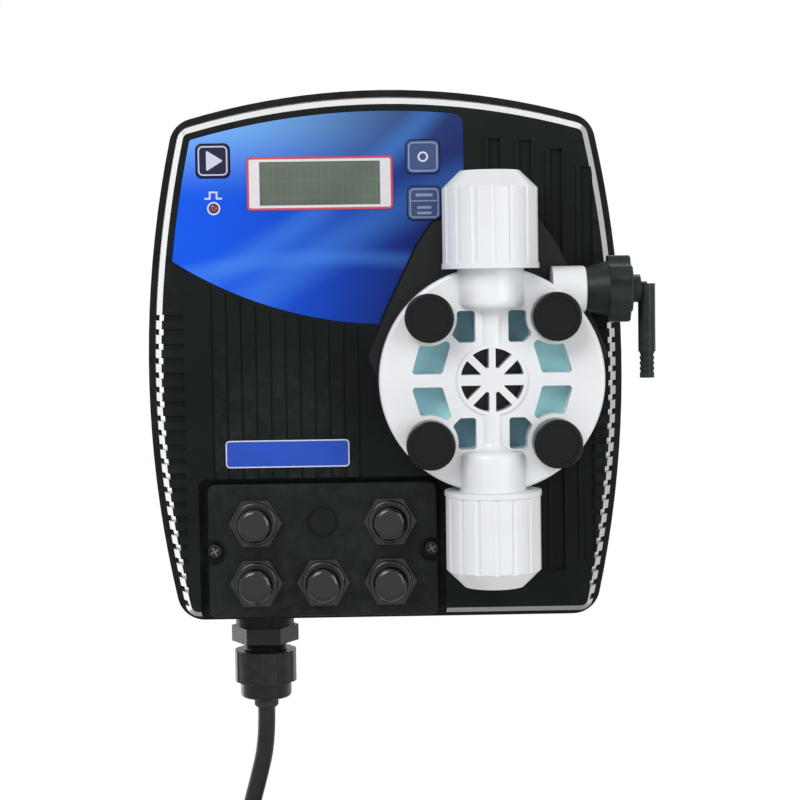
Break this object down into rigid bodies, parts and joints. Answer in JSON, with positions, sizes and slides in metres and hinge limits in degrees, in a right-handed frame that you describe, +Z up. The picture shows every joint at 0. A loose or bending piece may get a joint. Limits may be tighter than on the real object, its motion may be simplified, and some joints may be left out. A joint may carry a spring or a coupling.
{
  "type": "diaphragm metering pump",
  "caption": "Solenoid diaphragm dosing pump in a wall-hung plastic casing with keypad, display and a side pump head with union nuts.",
  "frame": {"origin": "middle of the four screw holes of the wall bracket, on the wall plane", "axes": "+Z up, the front with the keypad faces -Y, +X to the right as seen from the front"},
  "size_m": [0.1942, 0.1255, 0.4638],
  "materials": {
    "casing_plastic": "fine grained, glossy on the bevel",
    "terminal_plastic": "satin",
    "black_plastic": "satin",
    "dark_gloss_plastic": "gloss",
    "white_plastic": "semi-gloss",
    "valve_plastic": "smooth",
    "chamber_plastic": "smooth",
    "panel_film": "printed film, satin",
    "frame_plastic": "gloss",
    "display_glass": "dark, reflective",
    "key_rubber": "soft touch",
    "lamp": "tinted",
    "circuit_board": "lacquered",
    "screw_steel": "zinc plated",
    "drive_steel": "turned",
    "coil_resin": "cast",
    "bush_brass": "sintered",
    "valve_ceramic": "polished",
    "rubber_seal": "matt",
    "cord_sheath": "matt",
    "tie_wire": "satin"
  },
  "bodies": {
    "casing": {"wall_bracket": "black_plastic", "rear_case": "casing_plastic", "case_gasket": "rubber_seal", "front_cover": "casing_plastic", "case_screws": "screw_steel", "keypad_panel": "panel_film", "display_frame": "frame_plastic", "display_glass": "display_glass", "alarm_lamp": "lamp", "control_board": "circuit_board", "terminal_cover": "terminal_plastic", "terminal_screws": "screw_steel", "gland_body": "black_plastic", "gland_nut": "black_plastic", "gland_seal": "rubber_seal", "power_cable": "cord_sheath", "cable_coil": "cord_sheath", "coil_tie": "tie_wire", "mains_plug": "cord_sheath", "head_plate": "black_plastic", "solenoid_frame": "drive_steel", "solenoid_coil": "coil_resin", "shaft_bush": "bush_brass", "diaphragm_ring": "rubber_seal", "chamber_plate": "chamber_plastic", "pump_head": "white_plastic", "suction_seat": "valve_plastic", "suction_cage": "valve_plastic", "suction_nut": "white_plastic", "discharge_seat": "valve_plastic", "discharge_cage": "valve_plastic", "discharge_nut": "white_plastic", "connector_plug_1": "dark_gloss_plastic", "connector_plug_2": "dark_gloss_plastic", "connector_plug_3": "dark_gloss_plastic", "connector_plug_4": "dark_gloss_plastic", "connector_plug_5": "dark_gloss_plastic", "head_screw_1": "screw_steel", "screw_cap_1": "black_plastic", "head_screw_2": "screw_steel", "screw_cap_2": "black_plastic", "head_screw_3": "screw_steel", "screw_cap_3": "black_plastic", "head_screw_4": "screw_steel", "screw_cap_4": "black_plastic"},
    "plunger": {"armature": "drive_steel", "drive_shaft": "drive_steel", "return_spring": "drive_steel", "diaphragm": "rubber_seal"},
    "suction_ball": {"suction_ball": "valve_ceramic"},
    "discharge_ball": {"discharge_ball": "valve_ceramic"},
    "play_key": {"play_key": "key_rubber"},
    "esc_key": {"esc_key": "key_rubber"},
    "enter_key": {"enter_key": "key_rubber"},
    "bleed_knob": {"bleed_knob": "black_plastic"},
    "bleed_elbow": {"bleed_elbow": "black_plastic"}
  },
  "joints": [
    {"name": "drive_stroke", "type": "slide", "parent": "casing", "child": "plunger", "axis": [0, -1, 0], "range_m": [0, 0.0012], "stiffness_N_per_m": 2000},
    {"name": "suction_lift", "type": "slide", "parent": "casing", "child": "suction_ball", "axis": [0, 0, 1], "range_m": [0, 0.0012]},
    {"name": "discharge_lift", "type": "slide", "parent": "casing", "child": "discharge_ball", "axis": [0, 0, 1], "range_m": [0, 0.0012]},
    {"name": "play_press", "type": "slide", "parent": "casing", "child": "play_key", "axis": [0, 1, 0], "range_m": [0, 0.0004], "stiffness_N_per_m": 1200},
    {"name": "esc_press", "type": "slide", "parent": "casing", "child": "esc_key", "axis": [0, 1, 0], "range_m": [0, 0.0004], "stiffness_N_per_m": 1200},
    {"name": "enter_press", "type": "slide", "parent": "casing", "child": "enter_key", "axis": [0, 1, 0], "range_m": [0, 0.0004], "stiffness_N_per_m": 1200},
    {"name": "bleed_turn", "type": "hinge", "parent": "casing", "child": "bleed_knob", "pos_m": [0.0745, -0.1019, 0.0256], "axis": [1, 0, 0], "range_deg": [0, 270]},
    {"name": "elbow_swivel", "type": "hinge", "parent": "casing", "child": "bleed_elbow", "pos_m": [0.0942, -0.1019, 0.0256], "axis": [1, 0, 0], "range_deg": [-180, 180]}
  ]
}
